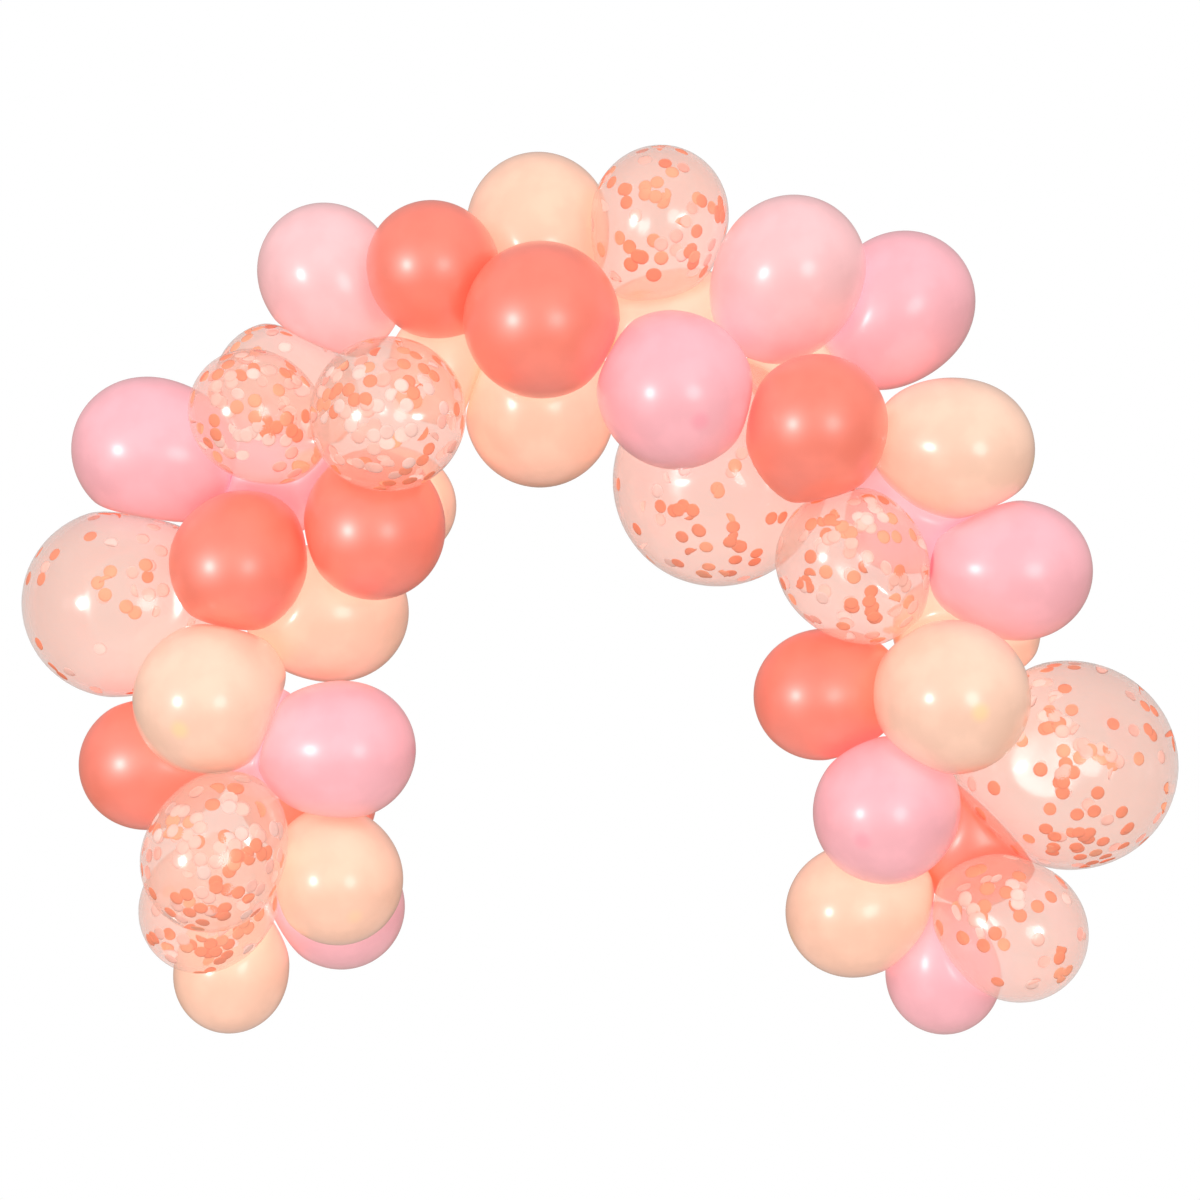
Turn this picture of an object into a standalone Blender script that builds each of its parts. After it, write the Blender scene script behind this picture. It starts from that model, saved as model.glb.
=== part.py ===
"""Balloon garland: an arch of latex and clear confetti balloons, pressed against each other.

Metres, +Z up. The wall that the garland hangs on is the plane Y = 0, and the garland is in front
of it, towards -Y. The origin is the middle of the flat where the anchor balloon, at the top of the
arch, is pressed on the wall.

Every balloon is one closed solid with its own neck. It is a turned egg, cut flat where it is
pressed on the wall or on another balloon, so that neighbours meet face to face.
"""

import math
from collections import Counter, namedtuple

import bmesh
import bpy
from mathutils import Matrix, Vector

# Driving dimensions
BALLOON_WIDTH = 0.270      # a standard balloon, blown up
LARGE_WIDTH = 0.380        # a large clear balloon, blown up
KNOT_RADIUS = 0.007        # the tied neck
KNOT_LENGTH = 0.022
CONTACT_GAP = 0.0003       # left between two balloons that press on each other

# Shape of a balloon, as shares of its radius
NECK_PULL = 0.35           # how much further the neck reaches than the widest circle
LARGE_NECK_PULL = 0.15
CROWN_PULL = 0.04          # the same for the crown
NECK_POWER = 5             # how late the neck starts to taper
CROWN_POWER = 3

# How the balloons press on each other, as shares of their radii
WALL_PRESS = 0.08          # how far a balloon is flattened by the wall
MOST_SQUASH = 0.25         # the most that two balloons are pressed together
TOUCH = 0.93               # how close two balloons come where they only just press

# Where the arrangement is seen from, in standard widths from the top of the arch, as the balloons'
# places are: they are set out on a plane through the garland's middle
EYE_DISTANCE = 18.5
EYE_ACROSS = 0.41
EYE_UP = -2.49
MIDDLE_DEPTH = 0.25        # in metres
KNOT_DEPTH = 0.17          # how far the line of knots is from the wall
SETTLE_STEP = 0.001        # how finely a balloon is moved out until it rests on the others

# Facets
SIDES = 12
RING_STEP = math.radians(25)
LAST_RING = math.radians(30)
FACET_SPREAD = 1 / math.sqrt(math.cos(math.pi / SIDES))   # corners out, so that facets lie on the skin
SNAP = 0.0005
MERGE = 0.00001
SMOOTH_BELOW = math.radians(34)

# A finish: the width and neck of its balloons, and their colour, roughness and opacity
Finish = namedtuple("Finish", "width pull colour roughness alpha")
FINISHES = {
    "peach": Finish(BALLOON_WIDTH, NECK_PULL, (0.97, 0.60, 0.40), 0.30, 1.0),
    "cream": Finish(BALLOON_WIDTH, NECK_PULL, (0.96, 0.70, 0.52), 0.30, 1.0),
    "coral": Finish(BALLOON_WIDTH, NECK_PULL, (0.97, 0.26, 0.18), 0.35, 1.0),
    "pink": Finish(BALLOON_WIDTH, NECK_PULL, (0.97, 0.50, 0.54), 0.35, 1.0),
    "pale_pink": Finish(BALLOON_WIDTH, NECK_PULL, (0.98, 0.60, 0.62), 0.35, 1.0),
    "clear": Finish(BALLOON_WIDTH, NECK_PULL, (0.98, 0.84, 0.80), 0.10, 0.35),
    "large_clear": Finish(LARGE_WIDTH, LARGE_NECK_PULL, (0.98, 0.84, 0.80), 0.10, 0.35),
}

# The balloons, from the wall outwards in each stretch, so that each rests on those above it here.
# across, up: the middle of its length, in standard widths from the top of the arch
# size: its width, as a share of its finish's width
# clock: where its neck points, seen from the front, in degrees from the right, counter-clockwise
# lean: how far its neck leans back towards the wall, in degrees; behind the knots it is negative
Balloon = namedtuple("Balloon", "finish across up size clock lean")
ANCHOR = Balloon("peach", 0.00, -0.06, 0.95, 270, -30)
LEFT_LEG = [
    Balloon("peach", -2.04, -4.93, 0.75, 78, -5),
    Balloon("pink", -1.35, -4.50, 0.83, 140, -45),
    Balloon("coral", -2.54, -3.57, 0.87, 10, 5),
    Balloon("coral", -1.55, -3.79, 0.82, 150, -30),
    Balloon("pink", -1.80, -3.44, 0.68, 90, -40),
    Balloon("clear", -2.18, -4.50, 0.85, 45, 10),
    Balloon("peach", -1.36, -4.32, 0.86, 125, 55),
    Balloon("pink", -1.36, -3.49, 0.91, 180, 10),
    Balloon("clear", -2.15, -4.16, 0.93, 65, 15),
    Balloon("large_clear", -2.75, -2.51, 0.89, 0, -10),
    Balloon("peach", -1.41, -2.57, 0.92, 180, -20),
    Balloon("pink", -1.75, -1.68, 0.77, 30, -20),
    Balloon("pink", -2.53, -1.51, 0.97, 347, 0),
    Balloon("peach", -0.96, -1.83, 0.72, 150, -30),
    Balloon("cream", -2.18, -3.13, 0.99, 55, 65),
    Balloon("coral", -1.10, -1.97, 0.93, 100, 50),
    Balloon("coral", -1.99, -2.22, 0.90, 66, 55),
]
LEFT_SHOULDER = [
    Balloon("peach", -0.66, -0.92, 0.67, 90, -10),
    Balloon("clear", -1.67, -1.10, 0.85, 330, -20),
    Balloon("pale_pink", -1.38, -0.37, 0.90, 300, 0),
    Balloon("clear", -1.86, -1.28, 0.84, 320, 30),
    Balloon("clear", -1.00, -1.24, 1.02, 60, 75),
    Balloon("coral", -0.69, -0.30, 0.87, 300, 60),
]
CROWN = [
    Balloon("peach", 0.01, -1.15, 0.99, 90, -10),
    Balloon("clear", 0.79, 0.00, 0.91, 255, 10),
    Balloon("large_clear", 1.23, -1.64, 1.00, 60, -10),
    Balloon("peach", 0.86, -0.66, 0.83, 200, -30),
    Balloon("peach", 1.75, -1.06, 0.77, 200, -30),
    Balloon("pink", 2.37, -0.57, 0.95, 225, 0),
    Balloon("pale_pink", 1.65, -0.36, 0.98, 240, 20),
    Balloon("pink", 0.90, -1.07, 1.02, 122, 60),
    Balloon("coral", 0.02, -0.61, 1.03, 90, 80),
]
RIGHT_LEG = [
    Balloon("peach", 2.85, -2.69, 0.83, 180, -10),
    Balloon("pink", 2.51, -1.91, 0.80, 200, -5),
    Balloon("pink", 3.14, -2.29, 0.92, 176, 0),
    Balloon("cream", 2.76, -1.47, 0.92, 167, 15),
    Balloon("coral", 1.94, -3.11, 0.86, 12, 20),
    Balloon("clear", 2.12, -2.27, 0.97, 313, 25),
    Balloon("coral", 1.84, -1.37, 0.94, 250, 55),
    Balloon("coral", 2.89, -4.11, 0.80, 120, -20),
    Balloon("large_clear", 3.50, -3.59, 0.98, 180, -10),
    Balloon("pink", 2.70, -4.93, 0.76, 90, -10),
    Balloon("peach", 2.16, -4.54, 0.87, 20, 10),
    Balloon("pink", 2.34, -3.88, 0.95, 39, 60),
    Balloon("cream", 2.75, -3.13, 1.01, 145, 75),
    Balloon("clear", 3.13, -4.66, 0.92, 145, 10),
]
BALLOONS = [ANCHOR] + LEFT_LEG + LEFT_SHOULDER + CROWN + RIGHT_LEG

Placed = namedtuple("Placed", "name finish centre radius pull neck")


def remove_old_objects():
    for thing in list(bpy.data.objects):
        bpy.data.objects.remove(thing, do_unlink=True)


def make_materials():
    """One material for each finish."""
    materials = {}
    for name, finish in FINISHES.items():
        material = bpy.data.materials.new(name + "_latex")
        material.use_nodes = True
        shader = material.node_tree.nodes["Principled BSDF"]
        shader.inputs["Base Color"].default_value = (*finish.colour, 1.0)
        shader.inputs["Roughness"].default_value = finish.roughness
        shader.inputs["Metallic"].default_value = 0.0
        shader.inputs["Alpha"].default_value = finish.alpha
        materials[name] = material
    return materials


def neck_direction(row):
    clock = math.radians(row.clock)
    lean = math.radians(row.lean)
    return Vector((math.cos(clock) * math.cos(lean), math.sin(lean), math.sin(clock) * math.cos(lean)))


def set_on_sight_line(row, depth):
    """The middle and radius of a balloon that is moved out from the wall along the line of sight."""
    finish = FINISHES[row.finish]
    nearness = 1 + (MIDDLE_DEPTH - depth) / (EYE_DISTANCE * BALLOON_WIDTH)
    radius = row.size * finish.width / 2 * nearness
    seen = Vector((row.across - EYE_ACROSS, 0.0, row.up - EYE_UP)) * BALLOON_WIDTH * nearness
    eye = Vector((EYE_ACROSS, 0.0, EYE_UP)) * BALLOON_WIDTH
    neck = neck_direction(row)
    past_middle = (finish.pull - CROWN_PULL) / 2 * radius
    centre = eye + seen - Vector((neck.x, 0.0, neck.z)) * past_middle
    centre.y = -depth
    return centre, radius


def first_depth(row):
    """How far out a balloon is if only its knot and the wall hold it."""
    radius = row.size * FINISHES[row.finish].width / 2
    by_knot = KNOT_DEPTH + radius * math.sin(math.radians(row.lean))
    return max(by_knot, radius * (1 - WALL_PRESS))


def too_close(row, centre, radius, other):
    """Whether a balloon still has to move out to rest on one behind it.

    The flat between them stays behind the front one's widest circle, so that its outline is
    whole, unless that would press them together too much or too little.
    """
    apart = centre - other.centre
    across = math.hypot(apart.x, apart.z)
    both = radius + other.radius
    wanted = (1 - MOST_SQUASH) * both
    if row.lean >= 0 and across < TOUCH * both:
        whole_outline = math.sqrt(max(2 * radius * across + other.radius ** 2 - radius ** 2, 0.0))
        wanted = min(max(whole_outline, wanted), TOUCH * both)
    return apart.length < wanted


def settle():
    """Lay the balloons on the wall and on each other, and measure from the anchor balloon."""
    numbers = Counter()
    placed = []
    for row in BALLOONS:
        numbers[row.finish] += 1
        name = f"{row.finish}_balloon_{numbers[row.finish]:02d}"
        depth = first_depth(row)
        centre, radius = set_on_sight_line(row, depth)
        while any(too_close(row, centre, radius, other) for other in placed):
            depth += SETTLE_STEP
            centre, radius = set_on_sight_line(row, depth)
        pull = FINISHES[row.finish].pull
        placed.append(Placed(name, row.finish, centre, radius, pull, neck_direction(row)))
    origin = Vector((placed[0].centre.x, 0.0, placed[0].centre.z))
    return [balloon._replace(centre=balloon.centre - origin) for balloon in placed]


def reach(balloon, direction):
    """How far the balloon's skin is from its middle, in a direction."""
    facing = balloon.neck.dot(direction)
    neck = balloon.pull * ((1 + facing) / 2) ** NECK_POWER
    crown = CROWN_PULL * ((1 - facing) / 2) ** CROWN_POWER
    return balloon.radius * (1 + neck + crown)


def flat_between(balloon, other):
    """The flat that two balloons press on each other: its direction and its distance."""
    apart = other.centre - balloon.centre
    distance = apart.length
    direction = apart / distance
    own = reach(balloon, direction)
    theirs = reach(other, -direction)
    if own + theirs > distance:
        place = (distance ** 2 + own ** 2 - theirs ** 2) / (2 * distance)
    else:
        place = (distance + own - theirs) / 2
    return direction, place


def flats_of(balloon, balloons):
    """All flats of a balloon, as directions and distances from its middle."""
    flats = [(Vector((0.0, 1.0, 0.0)), -balloon.centre.y)]
    for other in balloons:
        if other is balloon:
            continue
        ends = balloon.radius * (1 + balloon.pull) + other.radius * (1 + other.pull)
        if (other.centre - balloon.centre).length < ends * FACET_SPREAD + 2 * KNOT_LENGTH:
            direction, place = flat_between(balloon, other)
            flats.append((direction, place - CONTACT_GAP / 2))
    return flats


def egg_profile(balloon):
    """Half of the balloon's outline, crown to knot, as distances from its axis and along it."""
    points = []
    angle = math.pi
    while angle > LAST_RING - MERGE:
        direction = balloon.neck.copy()
        direction.rotate(Matrix.Rotation(angle, 3, balloon.neck.orthogonal()))
        out = reach(balloon, direction) * FACET_SPREAD
        points.append((out * math.sin(angle), out * math.cos(angle)))
        angle -= RING_STEP
    knot_start = balloon.radius * (1 + balloon.pull)
    points[0] = (0.0, points[0][1])
    points.append((KNOT_RADIUS, knot_start))
    points.append((KNOT_RADIUS, knot_start + KNOT_LENGTH))
    points.append((0.0, knot_start + KNOT_LENGTH))
    return points


def turn_egg(balloon):
    """The whole balloon before it is pressed flat anywhere, its neck in its own direction."""
    mesh = bmesh.new()
    verts = [mesh.verts.new((out, 0.0, along)) for out, along in egg_profile(balloon)]
    edges = [mesh.edges.new(pair) for pair in zip(verts, verts[1:])]
    bmesh.ops.spin(
        mesh, geom=verts + edges, cent=(0, 0, 0), axis=(0, 0, 1), angle=math.tau, steps=SIDES,
        use_merge=True,
    )
    bmesh.ops.remove_doubles(mesh, verts=mesh.verts, dist=MERGE)
    turn = Vector((0, 0, 1)).rotation_difference(balloon.neck).to_matrix()
    bmesh.ops.rotate(mesh, verts=mesh.verts, cent=(0, 0, 0), matrix=turn)
    return mesh


def cut_flat(mesh, direction, place):
    """Take off what lies past a flat, and close the balloon there."""
    if max(vert.co.dot(direction) for vert in mesh.verts) <= place:
        return
    bmesh.ops.bisect_plane(
        mesh, geom=mesh.verts[:] + mesh.edges[:] + mesh.faces[:], dist=SNAP,
        plane_co=direction * place, plane_no=direction, use_snap_center=True, clear_outer=True,
    )
    open_edges = [edge for edge in mesh.edges if edge.is_boundary]
    if open_edges:
        bmesh.ops.holes_fill(mesh, edges=open_edges, sides=0)


def make_balloon(balloon, balloons, material):
    mesh = turn_egg(balloon)
    for direction, place in flats_of(balloon, balloons):
        cut_flat(mesh, direction, place)
    bmesh.ops.recalc_face_normals(mesh, faces=mesh.faces)
    data = bpy.data.meshes.new(balloon.name)
    mesh.to_mesh(data)
    mesh.free()
    data.shade_smooth()
    data.set_sharp_from_angle(angle=SMOOTH_BELOW)
    data.materials.append(material)
    thing = bpy.data.objects.new(balloon.name, data)
    thing.location = balloon.centre
    bpy.context.scene.collection.objects.link(thing)
    return thing


def main():
    remove_old_objects()
    materials = make_materials()
    balloons = settle()
    for balloon in balloons:
        make_balloon(balloon, balloons, materials[balloon.finish])


main()
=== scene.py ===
"""Looks of the balloon garland: latex skins, tied necks, tissue confetti and a plain pale studio.

Metres, +Z up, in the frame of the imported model. The wall is the plane Y = 0 and the garland is in
front of it, towards -Y. The balloons are placed by the same table and rules as the solids.
"""

import math
import random
from collections import Counter, namedtuple

import bpy
import numpy as np
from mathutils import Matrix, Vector


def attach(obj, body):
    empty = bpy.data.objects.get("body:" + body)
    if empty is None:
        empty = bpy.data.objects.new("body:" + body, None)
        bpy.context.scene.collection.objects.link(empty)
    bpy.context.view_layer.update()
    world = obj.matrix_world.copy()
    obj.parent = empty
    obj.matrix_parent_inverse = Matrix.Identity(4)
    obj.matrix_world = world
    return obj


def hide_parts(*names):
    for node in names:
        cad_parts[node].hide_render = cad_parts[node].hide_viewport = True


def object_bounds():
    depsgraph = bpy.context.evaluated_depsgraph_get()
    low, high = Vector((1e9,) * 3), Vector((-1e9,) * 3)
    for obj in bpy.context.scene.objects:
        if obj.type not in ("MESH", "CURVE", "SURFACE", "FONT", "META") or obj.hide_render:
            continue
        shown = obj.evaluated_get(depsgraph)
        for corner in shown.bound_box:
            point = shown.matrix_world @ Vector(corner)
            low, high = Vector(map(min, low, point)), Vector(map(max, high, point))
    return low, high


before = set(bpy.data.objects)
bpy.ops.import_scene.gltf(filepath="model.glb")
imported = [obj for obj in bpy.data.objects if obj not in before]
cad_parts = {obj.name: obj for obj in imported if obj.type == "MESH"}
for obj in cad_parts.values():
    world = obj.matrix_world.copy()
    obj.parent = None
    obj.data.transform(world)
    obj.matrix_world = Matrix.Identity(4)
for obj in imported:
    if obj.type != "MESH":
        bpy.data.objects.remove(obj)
cad_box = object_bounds()

# Sizes shared with the solids
BALLOON_WIDTH = 0.270
LARGE_WIDTH = 0.380
CONTACT_GAP = 0.0003
NECK_PULL = 0.35
LARGE_NECK_PULL = 0.15
CROWN_PULL = 0.04
NECK_POWER = 5
CROWN_POWER = 3
WALL_PRESS = 0.08
MOST_SQUASH = 0.25
TOUCH = 0.93
EYE_DISTANCE = 18.5                # this and the next two are in standard widths
EYE_ACROSS = 0.41
EYE_UP = -2.49
MIDDLE_DEPTH = 0.25
KNOT_DEPTH = 0.17
SETTLE_STEP = 0.001

# Skin mesh
AROUND = 92                        # faces round a balloon
RINGS = 52                         # rings from the crown to the neck
NECK_START = math.radians(16)      # where the egg turns into the drawn-in neck
FLAT_ROUNDING = 0.016              # how softly a skin turns into its flats
LEAST_FACING = 0.05                # cosine from which on a flat is faced, and presses
FAR_AWAY = 1e3                     # where a flat that isn't faced is taken to be
TINY = 1e-9

# Tied neck, from the end of the egg outwards
NECK_RADIUS = 0.0040
NECK_RISE = 0.006
KNOT_RADIUS = 0.0080
KNOT_LENGTH = 0.0075
TAIL_LENGTH = 0.0105
TAIL_RADIUS = 0.0085
LIP_RADIUS = 0.0011
TAIL_FLATTENING = 0.45
TAIL_FLARE = 1.6                   # how late the tail opens, as a power
PLEATS = 9
PLEAT_DEPTH = 0.10
SHOULDER_CURVE = 0.55              # how far the curve into the neck keeps the egg's direction
THROAT_CURVE = 0.35                # and then the neck's, as shares of the radius where it starts
NECK_STEPS = 8
KNOT_STEPS = 6
TAIL_STEPS = 4
LIP_ANGLES = range(-45, 176, 55)   # degrees round the rolled lip
MOUTH_RADIUS = NECK_RADIUS * 0.6   # inside the tail's open end
MOUTH_RIM = 0.75                   # how far along the tail the mouth's floor is, at its rim
MOUTH_MIDDLE = 0.70

# Tissue confetti
DISC_RADIUS = 0.0125
DISC_SIDES = 14
DISC_RINGS = 3
DISC_THICKNESS = 0.00015
DISC_CLEARANCE = 0.0008            # from the skin to the nearest disc
DISC_LAYER = 0.0004                # between discs that cross each other
DISC_LAYERS = 6
FOLDED_SHARE = 0.12
FOLD_PLACES = (-0.3, 0.5)          # from and to how far off a disc's middle it is folded, in radii
FOLD_ANGLES = (60, 150)            # in degrees
CURLED_SHARE = 0.35
CURL_HEIGHT = 0.0025
FRONT_LIMIT = 0.98                 # the furthest out that a disc of a group lies, in balloon radii
DISC_UPRIGHT = (0.0, 0.3, 1.0)     # a disc's own axes are worked out from this; no disc faces it

# A finish: the width and neck of its balloons
Finish = namedtuple("Finish", "width pull")
STANDARD_FINISHES = ("peach", "cream", "coral", "pink", "pale_pink", "clear")
FINISHES = {finish: Finish(BALLOON_WIDTH, NECK_PULL) for finish in STANDARD_FINISHES}
FINISHES["large_clear"] = Finish(LARGE_WIDTH, LARGE_NECK_PULL)

# The balloons, as in the solids: across and up are the middle of the balloon's length, in standard
# widths from the top of the arch, size is a share of its finish's width, clock is where its neck
# points, in degrees from the right, and lean how far the neck leans back towards the wall
Balloon = namedtuple("Balloon", "finish across up size clock lean")
ANCHOR = Balloon("peach", 0.00, -0.06, 0.95, 270, -30)
LEFT_LEG = [
    Balloon("peach", -2.04, -4.93, 0.75, 78, -5),
    Balloon("pink", -1.35, -4.50, 0.83, 140, -45),
    Balloon("coral", -2.54, -3.57, 0.87, 10, 5),
    Balloon("coral", -1.55, -3.79, 0.82, 150, -30),
    Balloon("pink", -1.80, -3.44, 0.68, 90, -40),
    Balloon("clear", -2.18, -4.50, 0.85, 45, 10),
    Balloon("peach", -1.36, -4.32, 0.86, 125, 55),
    Balloon("pink", -1.36, -3.49, 0.91, 180, 10),
    Balloon("clear", -2.15, -4.16, 0.93, 65, 15),
    Balloon("large_clear", -2.75, -2.51, 0.89, 0, -10),
    Balloon("peach", -1.41, -2.57, 0.92, 180, -20),
    Balloon("pink", -1.75, -1.68, 0.77, 30, -20),
    Balloon("pink", -2.53, -1.51, 0.97, 347, 0),
    Balloon("peach", -0.96, -1.83, 0.72, 150, -30),
    Balloon("cream", -2.18, -3.13, 0.99, 55, 65),
    Balloon("coral", -1.10, -1.97, 0.93, 100, 50),
    Balloon("coral", -1.99, -2.22, 0.90, 66, 55),
]
LEFT_SHOULDER = [
    Balloon("peach", -0.66, -0.92, 0.67, 90, -10),
    Balloon("clear", -1.67, -1.10, 0.85, 330, -20),
    Balloon("pale_pink", -1.38, -0.37, 0.90, 300, 0),
    Balloon("clear", -1.86, -1.28, 0.84, 320, 30),
    Balloon("clear", -1.00, -1.24, 1.02, 60, 75),
    Balloon("coral", -0.69, -0.30, 0.87, 300, 60),
]
CROWN = [
    Balloon("peach", 0.01, -1.15, 0.99, 90, -10),
    Balloon("clear", 0.79, 0.00, 0.91, 255, 10),
    Balloon("large_clear", 1.23, -1.64, 1.00, 60, -10),
    Balloon("peach", 0.86, -0.66, 0.83, 200, -30),
    Balloon("peach", 1.75, -1.06, 0.77, 200, -30),
    Balloon("pink", 2.37, -0.57, 0.95, 225, 0),
    Balloon("pale_pink", 1.65, -0.36, 0.98, 240, 20),
    Balloon("pink", 0.90, -1.07, 1.02, 122, 60),
    Balloon("coral", 0.02, -0.61, 1.03, 90, 80),
]
RIGHT_LEG = [
    Balloon("peach", 2.85, -2.69, 0.83, 180, -10),
    Balloon("pink", 2.51, -1.91, 0.80, 200, -5),
    Balloon("pink", 3.14, -2.29, 0.92, 176, 0),
    Balloon("cream", 2.76, -1.47, 0.92, 167, 15),
    Balloon("coral", 1.94, -3.11, 0.86, 12, 20),
    Balloon("clear", 2.12, -2.27, 0.97, 313, 25),
    Balloon("coral", 1.84, -1.37, 0.94, 250, 55),
    Balloon("coral", 2.89, -4.11, 0.80, 120, -20),
    Balloon("large_clear", 3.50, -3.59, 0.98, 180, -10),
    Balloon("pink", 2.70, -4.93, 0.76, 90, -10),
    Balloon("peach", 2.16, -4.54, 0.87, 20, 10),
    Balloon("pink", 2.34, -3.88, 0.95, 39, 60),
    Balloon("cream", 2.75, -3.13, 1.01, 145, 75),
    Balloon("clear", 3.13, -4.66, 0.92, 145, 10),
]
BALLOONS = [ANCHOR] + LEFT_LEG + LEFT_SHOULDER + CROWN + RIGHT_LEG

# Confetti: how many discs lie anywhere on the skin, and groups of discs on the front of it.
# right, up and spread are shares of the balloon's radius
Group = namedtuple("Group", "right up spread discs paper")
CONFETTI = {
    "clear_balloon_01": (50, [
        Group(-0.75, -0.35, 0.08, 4, "orange"), Group(0.25, -0.55, 0.15, 8, "orange"),
        Group(0.60, -0.35, 0.20, 5, "peach"), Group(0.05, -0.93, 0.05, 2, "orange"),
    ]),
    "clear_balloon_02": (60, [
        Group(-0.42, 0.55, 0.13, 6, "peach"), Group(0.42, 0.28, 0.12, 4, "orange"),
        Group(0.80, 0.22, 0.13, 6, "orange"), Group(0.45, -0.30, 0.20, 7, "orange"),
        Group(0.15, -0.68, 0.15, 6, "orange"), Group(-0.45, -0.65, 0.12, 3, "orange"),
        Group(-0.25, 0.45, 0.25, 8, "pale"), Group(0.60, 0.45, 0.25, 6, "white"),
        Group(-0.10, -0.20, 0.30, 6, "pale"),
    ]),
    "clear_balloon_03": (30, [Group(-0.50, 0.80, 0.15, 5, "peach")]),
    "clear_balloon_04": (60, [
        Group(0.60, 0.75, 0.12, 4, "orange"), Group(-0.40, 0.75, 0.10, 3, "orange"),
        Group(-0.50, -0.40, 0.12, 3, "orange"), Group(0.55, -0.25, 0.18, 9, "orange"),
        Group(0.00, -0.05, 0.15, 3, "peach"), Group(-0.10, 0.50, 0.30, 8, "pale"),
        Group(0.05, -0.45, 0.20, 6, "white"),
    ]),
    "clear_balloon_05": (90, [
        Group(0.32, -0.72, 0.15, 7, "orange"), Group(-0.20, 0.35, 0.20, 6, "orange"),
        Group(0.50, 0.35, 0.20, 6, "orange"), Group(-0.10, -0.60, 0.15, 6, "pale"),
        Group(0.00, 0.15, 0.35, 12, "white"), Group(-0.70, 0.20, 0.10, 3, "peach"),
    ]),
    "clear_balloon_06": (34, [
        Group(-0.72, 0.30, 0.16, 7, "orange"), Group(0.75, 0.15, 0.16, 6, "orange"),
        Group(0.60, -0.60, 0.14, 5, "orange"), Group(0.00, 0.05, 0.18, 6, "peach"),
        Group(-0.35, -0.75, 0.15, 4, "orange"), Group(0.05, 0.76, 0.25, 3, "peach"),
        Group(-0.10, -0.40, 0.12, 2, "peach"),
    ]),
    "clear_balloon_07": (56, [
        Group(0.25, 0.68, 0.14, 8, "white"), Group(0.05, 0.30, 0.15, 5, "peach"),
        Group(-0.52, 0.50, 0.12, 4, "orange"), Group(-0.70, -0.30, 0.14, 6, "orange"),
        Group(0.12, -0.66, 0.13, 9, "orange"), Group(-0.10, 0.30, 0.25, 6, "pale"),
        Group(0.55, -0.30, 0.15, 4, "pale"), Group(0.70, 0.50, 0.15, 5, "peach"),
    ]),
    "clear_balloon_08": (26, [
        Group(-0.40, 0.45, 0.22, 10, "orange"), Group(-0.60, 0.10, 0.13, 4, "orange"),
        Group(0.45, -0.18, 0.10, 2, "orange"), Group(-0.70, 0.30, 0.15, 4, "pale"),
        Group(-0.10, 0.65, 0.10, 3, "white"), Group(0.50, -0.60, 0.15, 3, "peach"),
    ]),
    "large_clear_balloon_01": (26, [
        Group(0.00, 0.12, 0.13, 6, "peach"), Group(-0.25, 0.86, 0.25, 4, "orange"),
        Group(-0.80, 0.35, 0.12, 3, "orange"), Group(-0.75, -0.50, 0.15, 3, "orange"),
        Group(0.10, -0.92, 0.18, 3, "orange"), Group(0.45, 0.30, 0.20, 6, "pale"),
    ]),
    "large_clear_balloon_02": (24, [
        Group(-0.50, -0.35, 0.08, 5, "orange"), Group(-0.25, -0.48, 0.08, 4, "orange"),
        Group(0.05, -0.62, 0.08, 5, "orange"), Group(0.27, -0.75, 0.08, 6, "orange"),
        Group(0.55, -0.38, 0.10, 2, "orange"), Group(-0.10, -0.20, 0.12, 2, "peach"),
        Group(-0.70, -0.60, 0.20, 3, "orange"), Group(-0.20, -0.80, 0.15, 5, "peach"),
    ]),
    "large_clear_balloon_03": (56, [
        Group(-0.30, 0.40, 0.13, 5, "orange"), Group(0.00, 0.20, 0.10, 5, "peach"),
        Group(-0.22, -0.02, 0.10, 5, "orange"), Group(0.05, 0.10, 0.22, 16, "pale"),
        Group(-0.20, 0.60, 0.15, 6, "white"), Group(0.68, 0.30, 0.15, 7, "orange"),
        Group(-0.12, -0.72, 0.13, 12, "orange"), Group(0.25, -0.85, 0.12, 5, "orange"),
        Group(0.37, -0.60, 0.10, 3, "orange"), Group(0.00, -0.25, 0.12, 4, "orange"),
        Group(-0.10, 0.85, 0.12, 4, "orange"), Group(-0.85, -0.40, 0.12, 4, "orange"),
    ]),
}

# A latex: its colour, the colour of its thick crown spot, of its tied neck, and its gloss. The
# pearl finishes have a high index, for a broad glow under the sharp highlights of the coat, and
# the clear one, because its low alpha weakens its highlights
Latex = namedtuple("Latex", "slot colour spot neck index roughness coat_roughness")
LATEX = {
    "peach": Latex(
        "peach_latex", (0.95, 0.57, 0.42), (0.95, 0.59, 0.39), (0.90, 0.40, 0.18), 1.5, 0.45, 0.21,
    ),
    "cream": Latex(
        "cream_latex", (0.91, 0.59, 0.45), (0.92, 0.64, 0.37), (0.90, 0.52, 0.22), 1.5, 0.45, 0.20,
    ),
    "coral": Latex(
        "coral_latex", (0.97, 0.18, 0.11), (0.97, 0.18, 0.11), (0.60, 0.02, 0.05), 2.6, 0.52, 0.29,
    ),
    "pink": Latex(
        "pink_latex", (0.94, 0.43, 0.49), (0.94, 0.35, 0.43), (0.80, 0.10, 0.20), 2.2, 0.58, 0.25,
    ),
    "pale_pink": Latex(
        "pale_pink_latex", (0.94, 0.52, 0.54), (0.94, 0.47, 0.50), (0.80, 0.14, 0.22), 2.1, 0.58, 0.23,
    ),
    "clear": Latex(
        "clear_latex", (0.70, 0.47, 0.38), (0.70, 0.47, 0.38), (0.80, 0.45, 0.28), 2.2, 0.17, 0.15,
    ),
}
LATEX["large_clear"] = LATEX["clear"]
SPOT_EDGE = math.radians(170)      # from the neck to the outer edge of the crown's spot
SPOT_FULL = math.radians(178)
NECK_EDGE = math.radians(13)       # the same for the deeper colour of the neck
NECK_FULL = math.radians(5)

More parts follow.
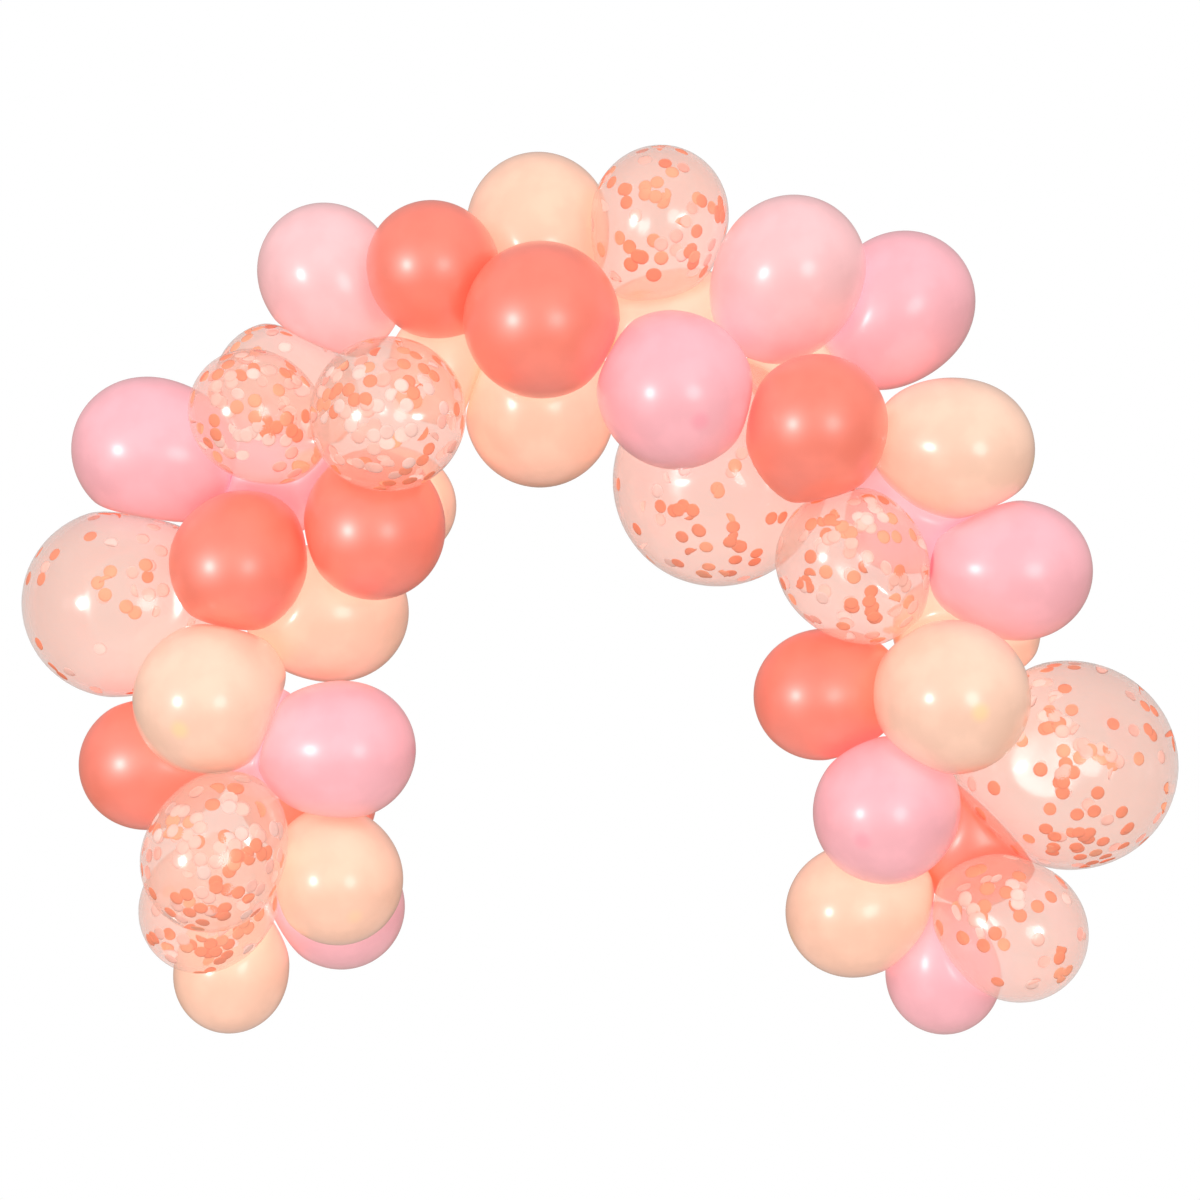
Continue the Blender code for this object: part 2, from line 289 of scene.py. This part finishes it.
# Bloom: uneven patches of paler and deeper latex
BLOOM_GRAIN = 14.0
BLOOM_DETAIL = 3.0
BLOOM_PALER = 1.03
BLOOM_LIFT = 0.01
BLOOM_DEEPER = 0.965
BLOOM_ROUGHNESS = 0.03             # how much rougher or smoother it is
PATCH_EDGES = (0.35, 0.65)         # where the noise turns from one shade to the other

# Clear latex is milkier towards the wall, in bands round each balloon
FRONT_ALPHA = 0.28
BACK_ALPHA = 0.70
BACK_STARTS = (-0.30, 0.30)        # from and to how far round to the back, as shares of the radius
CLEAR_BANDS = 9
# Painted glow: the colours of the opaque balloons next to a clear one are painted on its skin, for
# their light shining through it
PAINTED_GLOW_REACH = 1.05                  # how near, in sums of radii, a balloon shines through a clear one
PAINTED_GLOW_SPREAD = 0.12                 # how far round it does
PAINTED_GLOW_WEIGHT = 2.0

# Tissue papers
PAPERS = {
    "orange": (0.98, 0.26, 0.12),
    "peach": (0.98, 0.37, 0.20),
    "pale": (0.97, 0.54, 0.46),
    "white": (0.93, 0.64, 0.58),
}
SCATTERED_PAPERS = (2, 2, 5, 3)    # how many of each of them among the scattered discs
PAPER_PATCHES = 22.0               # scale of the patches of deeper colour
PAPER_DEEPER = 0.86
PAPER_GRAIN = 900.0
PAPER_GRAIN_STRENGTH = 0.2
PAPER_GRAIN_HEIGHT = 0.0002
PAPER_DETAIL = 2.0
PAPER_ROUGHNESS = 0.85
PAPER_SHINE = 0.2

# Camera: the picture is this many standard widths wide at the garland's middle depth
FRAME_WIDTHS = 8.0
SENSOR_WIDTH = 36.0

# Studio
FLOOR_DROP = 1.0                   # from the garland's lowest point to the floor
FLOOR_RADIUS = 3.0                 # its edge fades out from half of this
FLOOR_CORNERS = 64
FLOOR_COLOUR = (0.62, 0.58, 0.55, 1.0)
FLOOR_ROUGHNESS = 0.9
LIGHTS_AWAY = 8.0
KEY_SIDE = math.radians(42)        # how far to the left of the line of sight
KEY_WIDTH = 1.7
KEY_POWER = 205.0
SECOND_SIDE = math.radians(-23)
SECOND_WIDTH = 2.8
SECOND_POWER = 105.0
AMBIENT = 0.42                         # light from all round
AMBIENT_BELOW = (0.66, 0.46, 0.32)     # its colour from below, where the balloons glow on each other
# Soft light from six sides that casts no shadow, because thin latex lets light through
FILLS = {
    (0, -1, 0): 0.80,
    (0, 1, 0): 0.80,
    (-1, 0, 0): 0.70,
    (1, -0.7, 0): 0.95,
    (0, -0.2, 1): 1.30,
    (0, 0, -1): 0.05,
}

Placed = namedtuple("Placed", "name finish centre radius pull neck")


def neck_direction(row):
    clock = math.radians(row.clock)
    lean = math.radians(row.lean)
    return Vector((math.cos(clock) * math.cos(lean), math.sin(lean), math.sin(clock) * math.cos(lean)))


def set_on_sight_line(row, depth):
    """The middle and radius of a balloon that is moved out from the wall along the line of sight."""
    finish = FINISHES[row.finish]
    nearness = 1 + (MIDDLE_DEPTH - depth) / (EYE_DISTANCE * BALLOON_WIDTH)
    radius = row.size * finish.width / 2 * nearness
    seen = Vector((row.across - EYE_ACROSS, 0.0, row.up - EYE_UP)) * BALLOON_WIDTH * nearness
    eye = Vector((EYE_ACROSS, 0.0, EYE_UP)) * BALLOON_WIDTH
    neck = neck_direction(row)
    past_middle = (finish.pull - CROWN_PULL) / 2 * radius
    centre = eye + seen - Vector((neck.x, 0.0, neck.z)) * past_middle
    centre.y = -depth
    return centre, radius


def first_depth(row):
    """How far out a balloon is if only its knot and the wall hold it."""
    radius = row.size * FINISHES[row.finish].width / 2
    by_knot = KNOT_DEPTH + radius * math.sin(math.radians(row.lean))
    return max(by_knot, radius * (1 - WALL_PRESS))


def too_close(row, centre, radius, other):
    """Whether a balloon still has to move out to rest on one behind it."""
    apart = centre - other.centre
    across = math.hypot(apart.x, apart.z)
    both = radius + other.radius
    wanted = (1 - MOST_SQUASH) * both
    if row.lean >= 0 and across < TOUCH * both:
        whole_outline = math.sqrt(max(2 * radius * across + other.radius ** 2 - radius ** 2, 0.0))
        wanted = min(max(whole_outline, wanted), TOUCH * both)
    return apart.length < wanted


def settle():
    """Lay the balloons on the wall and on each other. Also gives where they are seen from."""
    numbers = Counter()
    placed = []
    for row in BALLOONS:
        numbers[row.finish] += 1
        name = f"{row.finish}_balloon_{numbers[row.finish]:02d}"
        depth = first_depth(row)
        centre, radius = set_on_sight_line(row, depth)
        while any(too_close(row, centre, radius, other) for other in placed):
            depth += SETTLE_STEP
            centre, radius = set_on_sight_line(row, depth)
        pull = FINISHES[row.finish].pull
        placed.append(Placed(name, row.finish, centre, radius, pull, neck_direction(row)))
    origin = Vector((placed[0].centre.x, 0.0, placed[0].centre.z))
    eye = Vector((EYE_ACROSS, 0.0, EYE_UP)) * BALLOON_WIDTH - origin
    eye.y = -EYE_DISTANCE * BALLOON_WIDTH - MIDDLE_DEPTH
    return [balloon._replace(centre=balloon.centre - origin) for balloon in placed], eye


def reach(balloon, facing):
    """How far the skin is from the balloon's middle where it is pressed by nothing.

    facing is the cosine of the angle from the neck, one number or an array.
    """
    neck = balloon.pull * ((1 + facing) / 2) ** NECK_POWER
    crown = CROWN_PULL * ((1 - facing) / 2) ** CROWN_POWER
    return balloon.radius * (1 + neck + crown)


def flat_between(balloon, other):
    """The flat that two balloons press on each other: its direction and its distance."""
    apart = other.centre - balloon.centre
    distance = apart.length
    direction = apart / distance
    own = reach(balloon, balloon.neck.dot(direction))
    theirs = reach(other, -other.neck.dot(direction))
    if own + theirs > distance:
        place = (distance ** 2 + own ** 2 - theirs ** 2) / (2 * distance)
    else:
        place = (distance + own - theirs) / 2
    return direction, place


def flats_of(balloon, balloons):
    """All flats of a balloon: an array of directions and one of distances from its middle."""
    directions = [Vector((0.0, 1.0, 0.0))]
    places = [-balloon.centre.y]
    for other in balloons:
        ends = balloon.radius * (1 + balloon.pull) + other.radius * (1 + other.pull)
        if other is not balloon and (other.centre - balloon.centre).length < ends:
            direction, place = flat_between(balloon, other)
            directions.append(direction)
            places.append(place - CONTACT_GAP / 2)
    return np.array(directions), np.array(places)


def press(points, flats):
    """Draw points in, towards the balloon's middle, until they are behind all its flats."""
    directions, places = flats
    out = np.linalg.norm(points, axis=-1)
    towards = points / np.maximum(out, TINY)[..., None]
    pressed = out.copy()
    for direction, place in zip(directions, places):
        facing = towards @ direction
        flat = np.where(facing > LEAST_FACING, place / np.maximum(facing, LEAST_FACING), FAR_AWAY)
        blend = np.clip(0.5 + 0.5 * (flat - pressed) / FLAT_ROUNDING, 0.0, 1.0)
        both = flat * (1 - blend) + pressed * blend
        pressed = both - FLAT_ROUNDING * blend * (1 - blend)
    return towards * pressed[..., None]


def bezier(a, b, c, d, steps):
    """Points along a cubic curve, without its first point."""
    curve = []
    for i in range(1, steps + 1):
        t = i / steps
        s = 1 - t
        curve.append(a * s ** 3 + b * 3 * s * s * t + c * 3 * s * t * t + d * t ** 3)
    return curve


def skin_profile(balloon, tied):
    """Half of the balloon's outline, crown to tail, as distances from its axis and along it."""
    last = NECK_START if tied else 0.0
    points = []
    for i in range(RINGS + 1):
        angle = math.pi + (last - math.pi) * i / RINGS
        out = reach(balloon, math.cos(angle))
        points.append(Vector((out * math.sin(angle), out * math.cos(angle))))
    points[0].x = 0.0
    if not tied:
        points[-1].x = 0.0
        return points
    slope = (points[-1] - points[-2]).normalized()
    start = balloon.radius * (1 + balloon.pull) + NECK_RISE
    neck = Vector((NECK_RADIUS, start))
    bend = points[-1].x
    shoulder = points[-1] + slope * bend * SHOULDER_CURVE
    throat = neck - Vector((0.0, bend * THROAT_CURVE))
    points += bezier(points[-1], shoulder, throat, neck, NECK_STEPS)
    for i in range(1, KNOT_STEPS + 1):
        angle = math.pi * i / KNOT_STEPS
        bulge = (KNOT_RADIUS - NECK_RADIUS) * math.sin(angle)
        points.append(Vector((NECK_RADIUS + bulge, start + KNOT_LENGTH * i / KNOT_STEPS)))
    start += KNOT_LENGTH
    for i in range(1, TAIL_STEPS + 1):
        flare = (TAIL_RADIUS - NECK_RADIUS) * (i / TAIL_STEPS) ** TAIL_FLARE
        points.append(Vector((NECK_RADIUS + flare, start + TAIL_LENGTH * i / TAIL_STEPS)))
    lip = points[-1] + Vector((0.0, LIP_RADIUS))
    for degrees in LIP_ANGLES:
        angle = math.radians(degrees)
        points.append(lip + Vector((math.cos(angle), math.sin(angle))) * LIP_RADIUS)
    points.append(Vector((MOUTH_RADIUS, start + TAIL_LENGTH * MOUTH_RIM)))
    points.append(Vector((0.0, start + TAIL_LENGTH * MOUTH_MIDDLE)))
    return points


def turned(balloon, profile, tied):
    """The profile turned round the neck's axis: crown point, rings of points and end point."""
    out = np.array([point.x for point in profile[1:-1]])[:, None]
    along = np.array([point.y for point in profile[1:-1]])[:, None]
    angle = np.linspace(0.0, math.tau, AROUND, endpoint=False)[None, :]
    across = out * np.cos(angle)
    deep = out * np.sin(angle)
    if tied:
        knot = balloon.radius * (1 + balloon.pull) + NECK_RISE
        tail = np.clip((along - knot - KNOT_LENGTH) / TAIL_LENGTH, 0.0, 1.0)
        gathered = np.clip((along - knot) / KNOT_LENGTH, 0.0, 1.0)
        pleats = 1 + PLEAT_DEPTH * np.cos(PLEATS * angle) * gathered
        across = across * pleats * (1 - TAIL_FLATTENING * tail)
        deep = deep * pleats * (1 + TAIL_FLATTENING * tail)
    rings = np.stack([across, deep, np.broadcast_to(along, across.shape)], axis=-1)
    ends = np.array([(0.0, 0.0, profile[0].y), (0.0, 0.0, profile[-1].y)])
    return np.vstack([rings.reshape(-1, 3), ends])


def turned_faces(rings):
    """Faces of a turned shape whose points are rings of AROUND points, then its two end points."""
    faces = []
    first, last = rings * AROUND, rings * AROUND + 1
    for i in range(AROUND):
        j = (i + 1) % AROUND
        faces.append((first, j, i))
        for ring in range(rings - 1):
            low, high = ring * AROUND, (ring + 1) * AROUND
            faces.append((low + i, low + j, high + j, high + i))
        top = (rings - 1) * AROUND
        faces.append((top + i, top + j, last))
    return faces


def new_object(name, points, faces, materials):
    data = bpy.data.meshes.new(name)
    data.from_pydata([tuple(point) for point in points], [], faces)
    data.update()
    data.shade_smooth()
    for material in materials:
        data.materials.append(material)
    thing = bpy.data.objects.new(name, data)
    bpy.context.scene.collection.objects.link(thing)
    return thing


def neck_is_free(balloon, flats):
    """Whether there is room for the tied neck before the nearest flat that it points at."""
    directions, places = flats
    facing = directions @ np.array(balloon.neck)
    knot_end = balloon.radius * (1 + balloon.pull) + NECK_RISE + KNOT_LENGTH
    return all(place / face > knot_end for face, place in zip(facing, places) if face > LEAST_FACING)


def painted_glow_on(balloon, balloons, towards):
    """The colours of a clear skin: its own tint with the painted glow of the opaque balloons next to
    it, where their light shines through it.
    """
    colours = np.tile(LATEX[balloon.finish].colour, (len(towards), 1))
    whole = np.ones((len(towards), 1))
    for other in balloons:
        apart = other.centre - balloon.centre
        if other.name in CONFETTI or apart.length > PAINTED_GLOW_REACH * (balloon.radius + other.radius):
            continue
        facing = towards @ np.array(apart.normalized())
        share = PAINTED_GLOW_WEIGHT * np.exp((facing - 1) / PAINTED_GLOW_SPREAD)[:, None]
        colours = colours + share * np.array(LATEX[other.finish].colour)
        whole = whole + share
    return colours / whole


def make_clear(skin, balloon, balloons):
    """Colour a clear skin with the painted glow of its neighbours, and set how milky each of its faces
    is.
    """
    points = np.array([vert.co for vert in skin.data.vertices])
    colours = painted_glow_on(balloon, balloons, unit(points))
    # the glow attribute holds painted glow: neighbours' colours painted on the skin for their light
    # shining through it
    glow = skin.data.attributes.new("glow", "FLOAT_COLOR", "POINT")
    glow.data.foreach_set("color", np.hstack([colours, np.ones((len(points), 1))]).ravel())
    back = unit(np.array([face.center for face in skin.data.polygons]))[:, 1]
    starts = np.linspace(*BACK_STARTS, CLEAR_BANDS - 1)
    skin.data.polygons.foreach_set("material_index", np.searchsorted(starts, back))


def make_skin(balloon, balloons, flats, materials):
    """The balloon itself, in place of its solid, with each point's angle from the neck."""
    tied = neck_is_free(balloon, flats)
    profile = skin_profile(balloon, tied)
    turn = np.array(Vector((0, 0, 1)).rotation_difference(balloon.neck).to_matrix())
    free = turned(balloon, profile, tied)
    name = balloon.name.replace("balloon", "latex_balloon")
    skin = new_object(name, press(free @ turn.T, flats), turned_faces(len(profile) - 2), materials)
    from_neck = skin.data.attributes.new("from_neck", "FLOAT", "POINT")
    from_neck.data.foreach_set("value", np.arctan2(np.hypot(free[:, 0], free[:, 1]), free[:, 2]))
    if balloon.name in CONFETTI:
        make_clear(skin, balloon, balloons)
    skin.location = balloon.centre
    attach(skin, "root")
    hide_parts(balloon.name)


def unit(vectors):
    return vectors / np.linalg.norm(vectors, axis=-1, keepdims=True)


def disc_places(name, rng):
    """Where the discs of a balloon lie, as directions from its middle, and the paper of each."""
    scattered, groups = CONFETTI[name]
    places = []
    for _ in range(scattered):
        direction = (rng.gauss(0, 1), rng.gauss(0, 1), rng.gauss(0, 1))
        paper = rng.choices(list(PAPERS), weights=SCATTERED_PAPERS)[0]
        places.append((direction, paper))
    for group in groups:
        for _ in range(group.discs):
            right = rng.gauss(group.right, group.spread)
            up = rng.gauss(group.up, group.spread)
            off = math.hypot(right, up)
            if off > FRONT_LIMIT:
                right, up = right * FRONT_LIMIT / off, up * FRONT_LIMIT / off
            forward = math.sqrt(max(1 - right * right - up * up, 0.0))
            places.append(((right, -forward, up), group.paper))
    return places


def disc_template():
    """The points of a flat disc as shares of its radius, and its faces, both sides and rim."""
    points = [(0.0, 0.0)]
    for ring in range(1, DISC_RINGS + 1):
        for i in range(DISC_SIDES):
            angle = math.tau * i / DISC_SIDES
            out = ring / DISC_RINGS
            points.append((out * math.cos(angle), out * math.sin(angle)))
    side = []
    for i in range(DISC_SIDES):
        j = (i + 1) % DISC_SIDES
        side.append((0, 1 + i, 1 + j))
        for ring in range(DISC_RINGS - 1):
            low, high = 1 + ring * DISC_SIDES, 1 + (ring + 1) * DISC_SIDES
            side.append((low + i, high + i, high + j, low + j))
    count = len(points)
    rim = 1 + (DISC_RINGS - 1) * DISC_SIDES
    faces = list(side)
    faces += [tuple(count + corner for corner in reversed(face)) for face in side]
    for i in range(DISC_SIDES):
        j = (i + 1) % DISC_SIDES
        faces.append((rim + i, count + rim + i, count + rim + j, rim + j))
    return np.array(points), faces


def lay_disc(balloon, flats, direction, template, rng):
    """One disc's points, lying on the inside of the skin, some of them curled or folded."""
    middle = unit(np.array(direction))
    side = unit(np.cross(middle, DISC_UPRIGHT))
    up = np.cross(middle, side)
    turn = rng.uniform(0.0, math.tau)
    across = template[:, 0] * DISC_RADIUS
    along = template[:, 1] * DISC_RADIUS
    lift = np.zeros(len(template))
    kind = rng.random()
    if kind < FOLDED_SHARE:
        fold = rng.uniform(*FOLD_PLACES) * DISC_RADIUS
        angle = math.radians(rng.uniform(*FOLD_ANGLES))
        past = np.maximum(across - fold, 0.0)
        across = across - past + past * math.cos(angle)
        lift = past * math.sin(angle)
    elif kind < FOLDED_SHARE + CURLED_SHARE:
        lift = CURL_HEIGHT * rng.random() * np.maximum(template[:, 0], 0.0) ** 2
    x = across * math.cos(turn) - along * math.sin(turn)
    y = across * math.sin(turn) + along * math.cos(turn)
    out = balloon.radius
    towards = unit(middle * out + side * x[:, None] + up * y[:, None])
    facing = towards @ np.array(balloon.neck)
    skin = press(towards * reach(balloon, facing)[:, None], flats)
    distance = np.linalg.norm(skin, axis=-1)
    depth = DISC_CLEARANCE + DISC_LAYER * rng.randrange(DISC_LAYERS) + lift
    outer = towards * (distance - depth)[:, None]
    inner = towards * (distance - depth - DISC_THICKNESS)[:, None]
    return np.vstack([inner, outer])


def make_confetti(balloon, flats, papers):
    """The tissue discs inside one clear balloon, as one mesh."""
    rng = random.Random(balloon.name)
    template, template_faces = disc_template()
    points = []
    faces = []
    shades = []
    count = 0
    for direction, paper in disc_places(balloon.name, rng):
        disc = lay_disc(balloon, flats, direction, template, rng)
        points.append(disc)
        faces += [tuple(count + corner for corner in face) for face in template_faces]
        shades += [list(PAPERS).index(paper)] * len(template_faces)
        count += len(disc)
    name = balloon.name.replace("balloon", "balloon_confetti")
    confetti = new_object(name, np.vstack(points), faces, papers)
    confetti.data.polygons.foreach_set("material_index", shades)
    confetti.location = balloon.centre
    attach(confetti, "root")


def add(nodes, kind, **values):
    """A shader node with its inputs and settings given by name."""
    node = nodes.new(kind)
    for key, value in values.items():
        if key in node.inputs:
            node.inputs[key].default_value = value
        else:
            setattr(node, key, value)
    return node


def ramp_over(tree, source, start, end):
    """A smooth step from 0 at start to 1 at end."""
    step = add(tree.nodes, "ShaderNodeMapRange", interpolation_type="SMOOTHSTEP")
    step.inputs["From Min"].default_value = start
    step.inputs["From Max"].default_value = end
    tree.links.new(source, step.inputs["Value"])
    return step.outputs["Result"]


def mixed(tree, share, first, second):
    """Two colours mixed by a share; a colour is a socket or three numbers."""
    mix = add(tree.nodes, "ShaderNodeMix", data_type="RGBA")
    tree.links.new(share, mix.inputs["Factor"])
    for name, colour in (("A", first), ("B", second)):
        socket = [s for s in mix.inputs if s.name == name and s.type == "RGBA"][0]
        if isinstance(colour, tuple):
            socket.default_value = (*colour, 1.0)
        else:
            tree.links.new(colour, socket)
    return [s for s in mix.outputs if s.type == "RGBA"][0]


def latex_material(name, latex, alpha):
    """Latex with a thick spot at the crown, a thick neck and a faint uneven bloom."""
    material = bpy.data.materials.new(name)
    material.use_nodes = True
    tree = material.node_tree
    shader = tree.nodes["Principled BSDF"]
    where = add(tree.nodes, "ShaderNodeTexCoord").outputs["Object"]
    from_neck = add(tree.nodes, "ShaderNodeAttribute", attribute_name="from_neck").outputs["Fac"]
    bloom = add(tree.nodes, "ShaderNodeTexNoise", Scale=BLOOM_GRAIN, Detail=BLOOM_DETAIL)
    tree.links.new(where, bloom.inputs["Vector"])
    paler = tuple(min(1.0, value * BLOOM_PALER + BLOOM_LIFT) for value in latex.colour)
    deeper = tuple(value * BLOOM_DEEPER for value in latex.colour)
    # a clear skin takes its colour from the glow attribute: its own tint with the painted glow of the
    # balloons next to it
    if alpha < 1:
        spotted = add(tree.nodes, "ShaderNodeAttribute", attribute_name="glow").outputs["Color"]
    else:
        skin = mixed(tree, ramp_over(tree, bloom.outputs["Fac"], *PATCH_EDGES), deeper, paler)
        spotted = mixed(tree, ramp_over(tree, from_neck, SPOT_EDGE, SPOT_FULL), skin, latex.spot)
    whole = mixed(tree, ramp_over(tree, from_neck, NECK_FULL, NECK_EDGE), latex.neck, spotted)
    tree.links.new(whole, shader.inputs["Base Color"])
    uneven = add(tree.nodes, "ShaderNodeMapRange")
    uneven.inputs["To Min"].default_value = latex.roughness - BLOOM_ROUGHNESS
    uneven.inputs["To Max"].default_value = latex.roughness + BLOOM_ROUGHNESS
    tree.links.new(bloom.outputs["Fac"], uneven.inputs["Value"])
    tree.links.new(uneven.outputs["Result"], shader.inputs["Roughness"])
    shader.inputs["IOR"].default_value = latex.index
    shader.inputs["Coat Weight"].default_value = 1.0
    shader.inputs["Coat Roughness"].default_value = latex.coat_roughness
    shader.inputs["Alpha"].default_value = alpha
    return material


def latex_materials():
    """The materials of each finish: one if it is opaque, one for each band if it is clear."""
    materials = {}
    for finish, latex in LATEX.items():
        clear = finish.endswith("clear")
        alphas = np.linspace(FRONT_ALPHA, BACK_ALPHA, CLEAR_BANDS) if clear else [1.0]
        materials[finish] = [latex_material(finish + "_latex", latex, alpha) for alpha in alphas]
    return materials


def paper_material(name, colour):
    """Matt tissue paper with a fine uneven grain."""
    material = bpy.data.materials.new(name)
    material.use_nodes = True
    tree = material.node_tree
    shader = tree.nodes["Principled BSDF"]
    where = add(tree.nodes, "ShaderNodeTexCoord").outputs["Object"]
    patches = add(tree.nodes, "ShaderNodeTexNoise", Scale=PAPER_PATCHES, Detail=PAPER_DETAIL)
    grain = add(tree.nodes, "ShaderNodeTexNoise", Scale=PAPER_GRAIN, Detail=PAPER_DETAIL)
    tree.links.new(where, patches.inputs["Vector"])
    tree.links.new(where, grain.inputs["Vector"])
    deeper = tuple(value * PAPER_DEEPER for value in colour)
    tree.links.new(
        mixed(tree, ramp_over(tree, patches.outputs["Fac"], *PATCH_EDGES), deeper, colour),
        shader.inputs["Base Color"],
    )
    bump = add(tree.nodes, "ShaderNodeBump", Strength=PAPER_GRAIN_STRENGTH, Distance=PAPER_GRAIN_HEIGHT)
    tree.links.new(grain.outputs["Fac"], bump.inputs["Height"])
    tree.links.new(bump.outputs["Normal"], shader.inputs["Normal"])
    shader.inputs["Roughness"].default_value = PAPER_ROUGHNESS
    shader.inputs["Specular IOR Level"].default_value = PAPER_SHINE
    return material


def make_camera(eye):
    data = bpy.data.cameras.new("camera")
    data.sensor_width = SENSOR_WIDTH
    data.lens = SENSOR_WIDTH * EYE_DISTANCE / FRAME_WIDTHS
    camera = bpy.data.objects.new("camera", data)
    camera.location = eye
    camera.rotation_euler = (math.radians(90), 0.0, 0.0)
    bpy.context.scene.collection.objects.link(camera)
    bpy.context.scene.camera = camera


def make_light(name, target, side, width, power):
    """A round soft light at the target's height, to one side of the line of sight."""
    data = bpy.data.lights.new(name, "AREA")
    data.shape = "DISK"
    data.size = width
    data.energy = power
    data.use_shadow = False
    light = bpy.data.objects.new(name, data)
    light.location = target + Vector((-math.sin(side), -math.cos(side), 0.0)) * LIGHTS_AWAY
    light.rotation_euler = (target - light.location).to_track_quat("-Z", "Y").to_euler()
    bpy.context.scene.collection.objects.link(light)


def make_fill(number, direction, strength):
    """Even light from one side, without shadows and without a highlight."""
    data = bpy.data.lights.new(f"fill_{number}", "SUN")
    data.energy = strength
    data.use_shadow = False
    fill = bpy.data.objects.new(data.name, data)
    fill.rotation_euler = Vector(direction).to_track_quat("Z", "Y").to_euler()
    fill.visible_glossy = False
    bpy.context.scene.collection.objects.link(fill)


def make_world():
    """White behind everything, and an even light that is warmer from below."""
    world = bpy.data.worlds.new("studio")
    bpy.context.scene.world = world
    world.use_nodes = True
    tree = world.node_tree
    tree.nodes.clear()
    where = add(tree.nodes, "ShaderNodeTexCoord").outputs["Generated"]
    split = add(tree.nodes, "ShaderNodeSeparateXYZ")
    tree.links.new(where, split.inputs["Vector"])
    lighting = add(tree.nodes, "ShaderNodeBackground", Strength=AMBIENT)
    above = ramp_over(tree, split.outputs["Z"], -1.0, 1.0)
    tree.links.new(mixed(tree, above, AMBIENT_BELOW, (1.0, 1.0, 1.0)), lighting.inputs["Color"])
    backdrop = add(tree.nodes, "ShaderNodeBackground", Strength=1.0, Color=(1.0, 1.0, 1.0, 1.0))
    seen = add(tree.nodes, "ShaderNodeLightPath")
    choose = add(tree.nodes, "ShaderNodeMixShader")
    tree.links.new(seen.outputs["Is Camera Ray"], choose.inputs["Fac"])
    tree.links.new(lighting.outputs[0], choose.inputs[1])
    tree.links.new(backdrop.outputs[0], choose.inputs[2])
    output = add(tree.nodes, "ShaderNodeOutputWorld")
    tree.links.new(choose.outputs[0], output.inputs["Surface"])


def make_floor(lowest):
    """A plain pale floor, well under the hanging garland, that fades into the white at its edge."""
    material = bpy.data.materials.new("floor_paint")
    material.use_nodes = True
    tree = material.node_tree
    shader = tree.nodes["Principled BSDF"]
    shader.inputs["Base Color"].default_value = FLOOR_COLOUR
    shader.inputs["Roughness"].default_value = FLOOR_ROUGHNESS
    where = add(tree.nodes, "ShaderNodeTexCoord").outputs["Object"]
    out = add(tree.nodes, "ShaderNodeVectorMath", operation="LENGTH")
    tree.links.new(where, out.inputs[0])
    inside = ramp_over(tree, out.outputs["Value"], FLOOR_RADIUS, FLOOR_RADIUS / 2)
    tree.links.new(inside, shader.inputs["Alpha"])
    points = []
    for i in range(FLOOR_CORNERS):
        angle = math.tau * i / FLOOR_CORNERS
        points.append((FLOOR_RADIUS * math.cos(angle), FLOOR_RADIUS * math.sin(angle), 0.0))
    floor = new_object("floor", points, [tuple(range(FLOOR_CORNERS))], [material])
    floor.location = (0.0, 0.0, lowest - FLOOR_DROP)


def main():
    balloons, eye = settle()
    skins = latex_materials()
    papers = [paper_material(name + "_tissue", colour) for name, colour in PAPERS.items()]
    for balloon in balloons:
        flats = flats_of(balloon, balloons)
        make_skin(balloon, balloons, flats, skins[balloon.finish])
        if balloon.name in CONFETTI:
            make_confetti(balloon, flats, papers)
    make_camera(eye)
    target = Vector((eye.x, -MIDDLE_DEPTH, eye.z))
    make_light("key", target, KEY_SIDE, KEY_WIDTH, KEY_POWER)
    make_light("second", target, SECOND_SIDE, SECOND_WIDTH, SECOND_POWER)
    for number, (direction, strength) in enumerate(FILLS.items()):
        make_fill(number, direction, strength)
    make_world()
    make_floor(cad_box[0][2])
    bpy.context.scene.view_settings.view_transform = "Standard"


main()
